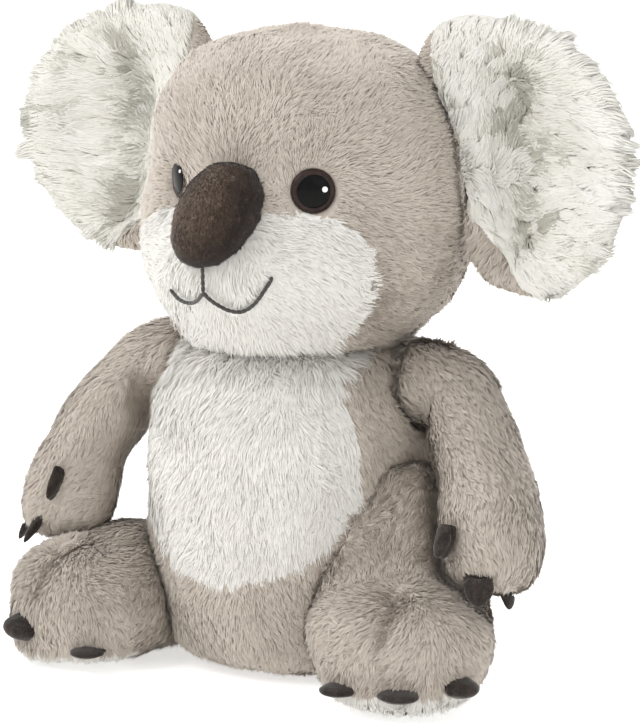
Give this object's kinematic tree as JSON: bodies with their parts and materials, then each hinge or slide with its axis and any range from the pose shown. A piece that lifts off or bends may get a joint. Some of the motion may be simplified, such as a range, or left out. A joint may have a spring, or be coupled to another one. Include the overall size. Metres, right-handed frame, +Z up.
{
  "type": "plush koala",
  "caption": "Seated plush koala: taupe and white pile body, big round shaggy ears, velvet nose, domed eyes, sewn claws, arms that swing forward.",
  "frame": {"origin": "middle of the flat seat, on the surface that the toy sits on", "axes": "+X is the koala's left, +Y its back, -Y the way that it faces, +Z up"},
  "size_m": [0.2952, 0.1603, 0.2717],
  "materials": {
    "taupe_plush": "short-pile taupe plush, pile brushed down",
    "white_plush": "short-pile white plush",
    "long_pile": "long shaggy white plush of the ears' fronts",
    "filling": "loose polyester fibre filling",
    "pouch": "cotton pouch of plastic granules",
    "velvet": "dark brown short-nap velvet",
    "suede": "dark brown imitation suede",
    "thread": "dark embroidery thread",
    "eye_plastic": "glossy domed plastic, black with a dark brown rim",
    "washer_plastic": "moulded white plastic"
  },
  "bodies": {
    "torso": {"body_cover": "taupe_plush", "belly_panel": "white_plush", "body_filling": "filling", "bean_pouch": "pouch", "leg_cover_left": "taupe_plush", "sole_left": "white_plush", "leg_filling_left": "filling", "foot_claw_left_1": "suede", "foot_claw_left_2": "suede", "foot_claw_left_3": "suede", "leg_cover_right": "taupe_plush", "sole_right": "white_plush", "leg_filling_right": "filling", "foot_claw_right_1": "suede", "foot_claw_right_2": "suede", "foot_claw_right_3": "suede"},
    "head": {"head_cover": "taupe_plush", "face_panel": "white_plush", "head_filling": "filling", "nose_cover": "velvet", "nose_filling": "filling", "lip_stitch": "thread", "nose_stitch": "thread", "eye_left": "eye_plastic", "eye_washer_left": "washer_plastic", "eye_right": "eye_plastic", "eye_washer_right": "washer_plastic"},
    "arm_left": {"arm_cover_left": "taupe_plush", "arm_filling_left": "filling", "paw_claw_left_1": "suede", "paw_claw_left_2": "suede", "paw_claw_left_3": "suede"},
    "ear_left": {"ear_front_left": "long_pile", "ear_back_left": "taupe_plush"},
    "arm_right": {"arm_cover_right": "taupe_plush", "arm_filling_right": "filling", "paw_claw_right_1": "suede", "paw_claw_right_2": "suede", "paw_claw_right_3": "suede"},
    "ear_right": {"ear_front_right": "long_pile", "ear_back_right": "taupe_plush"}
  },
  "joints": [
    {"name": "head_turn", "type": "hinge", "parent": "torso", "child": "head", "pos_m": [0, 0, 0.135], "axis": [0, 0, 1], "range_deg": [-20, 20], "stiffness_Nm_per_rad": 0.08},
    {"name": "arm_left_swing", "type": "hinge", "parent": "torso", "child": "arm_left", "pos_m": [0.052, -0.001, 0.121], "axis": [-1, 0, 0], "range_deg": [0, 65], "stiffness_Nm_per_rad": 0.01},
    {"name": "ear_left_fold", "type": "hinge", "parent": "head", "child": "ear_left", "pos_m": [0.06564, 0.008, 0.19502], "axis": [-0.2759, 0, 0.9612], "range_deg": [-10, 10], "stiffness_Nm_per_rad": 0.03},
    {"name": "arm_right_swing", "type": "hinge", "parent": "torso", "child": "arm_right", "pos_m": [-0.052, -0.001, 0.121], "axis": [-1, 0, 0], "range_deg": [0, 65], "stiffness_Nm_per_rad": 0.01},
    {"name": "ear_right_fold", "type": "hinge", "parent": "head", "child": "ear_right", "pos_m": [-0.06564, 0.008, 0.19502], "axis": [0.2759, 0, 0.9612], "range_deg": [-10, 10], "stiffness_Nm_per_rad": 0.03}
  ]
}
